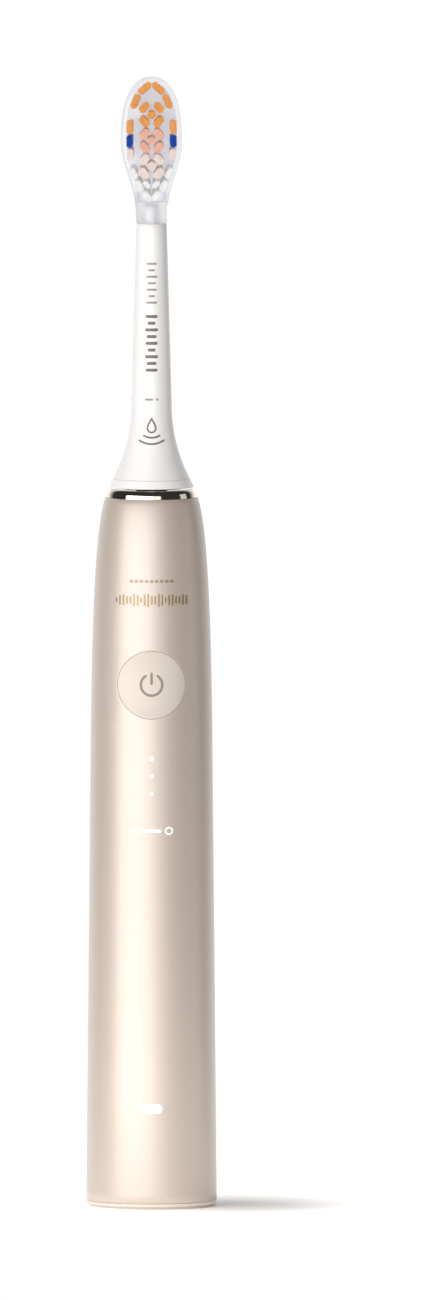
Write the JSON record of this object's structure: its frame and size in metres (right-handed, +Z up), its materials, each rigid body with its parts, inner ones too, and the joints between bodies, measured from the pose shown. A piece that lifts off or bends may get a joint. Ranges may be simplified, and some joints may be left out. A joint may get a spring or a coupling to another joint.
{
  "type": "electric toothbrush",
  "caption": "Slim electric toothbrush with a tapered metallic handle, a pull-off brush head with an oval clear plate, and a flat base it stands on.",
  "frame": {"origin": "centre of the flat base, on the surface that the toothbrush stands on", "axes": "+Z up along the handle, -Y towards the front with the power button and the bristles, +X to the right seen from the front"},
  "size_m": [0.0292, 0.0292, 0.253],
  "materials": {
    "champagne_lacquer": "satin metallic lacquer",
    "polished_metal": "polished, warm tint",
    "button_lacquer": "soft satin metallic",
    "white_gloss": "gloss",
    "neck_trim": "gloss",
    "clear_plastic": "clear gloss",
    "tuft_carrier": "satin",
    "foot_plastic": "satin",
    "diffuser": "frosted clear",
    "steel": "ground",
    "lamination": "laminated",
    "magnet": "nickel plated",
    "copper_wire": "enamelled copper winding",
    "brass_clamp": "turned",
    "gold_pins": "gold plated",
    "nickel_strip": "nickel plated strip",
    "cast_frame": "die cast",
    "chassis_plastic": "moulded, fine texture",
    "dark_plastic": "moulded",
    "grey_plastic": "moulded",
    "red_plastic": "moulded",
    "dark_rubber": "matt rubber",
    "grey_rubber": "matt rubber",
    "cell_wrap": "printed shrink wrap on a metal can",
    "board": "green solder mask",
    "flex_film": "amber film",
    "capacitor_ceramic": "ceramic",
    "led": "epoxy",
    "ferrite": "sintered",
    "orange_nylon": "fine filaments",
    "blue_nylon": "fine filaments",
    "salmon_nylon": "fine filaments",
    "pale_nylon": "fine filaments",
    "white_nylon": "fine filaments"
  },
  "bodies": {
    "handle": {"handle_shell": "champagne_lacquer", "collar_ring": "polished_metal", "end_cap": "foot_plastic", "light_ring": "diffuser", "mode_light_guide": "diffuser", "battery_window": "diffuser", "upper_bearing": "steel", "lower_bearing": "steel", "stator_core": "lamination", "stator_coil": "copper_wire", "charging_coil": "copper_wire", "coil_leads": "copper_wire", "antenna_ring": "copper_wire", "spring_anchor": "brass_clamp", "board_header": "gold_pins", "battery_tabs": "nickel_strip", "motor_frame": "cast_frame", "chassis": "chassis_plastic", "nose_bush": "dark_plastic", "coil_bobbin": "dark_plastic", "switch_body": "dark_plastic", "board_chips": "dark_plastic", "charging_bobbin": "grey_plastic", "vibration_damper": "dark_rubber", "end_cap_seal": "dark_rubber", "shaft_seal": "grey_rubber", "button_membrane": "grey_rubber", "battery_cell": "cell_wrap", "circuit_board": "board", "base_board": "board", "antenna_flex": "flex_film", "board_capacitors": "capacitor_ceramic", "status_leds": "led", "ring_leds": "led", "ferrite_ring": "ferrite"},
    "drive": {"drive_shaft": "steel", "rotor_hub": "lamination", "rotor_magnets": "magnet", "torsion_rod": "steel"},
    "brush_head": {"brush_neck": "white_gloss", "neck_base_ring": "neck_trim", "shaft_socket": "grey_plastic", "retaining_spring": "steel", "id_chip": "board", "head_plate": "clear_plastic", "tuft_plate": "tuft_carrier", "tufts_orange": "orange_nylon", "tufts_blue": "blue_nylon", "tufts_salmon": "salmon_nylon", "tufts_pale": "pale_nylon", "tufts_white": "white_nylon"},
    "button": {"power_button": "button_lacquer"},
    "plunger": {"switch_plunger": "red_plastic"}
  },
  "joints": [
    {"name": "shaft_sweep", "type": "hinge", "parent": "handle", "child": "drive", "pos_m": [0, 0, 0.1], "axis": [0, 0, 1], "range_deg": [-4.5, 4.5], "stiffness_Nm_per_rad": 0.05},
    {"name": "head_pull", "type": "slide", "parent": "drive", "child": "brush_head", "axis": [0, 0, 1], "range_m": [0, 0.03]},
    {"name": "button_press", "type": "slide", "parent": "handle", "child": "button", "axis": [0, 1, 0], "range_m": [0, 0.00035], "stiffness_N_per_m": 1000, "deforming": ["button_membrane"]},
    {"name": "plunger_press", "type": "slide", "parent": "handle", "child": "plunger", "axis": [0, 1, 0], "range_m": [0, 0.00035]}
  ],
  "couplings": [
    {"joint": "plunger_press", "follows": "button_press", "ratio": 1}
  ]
}
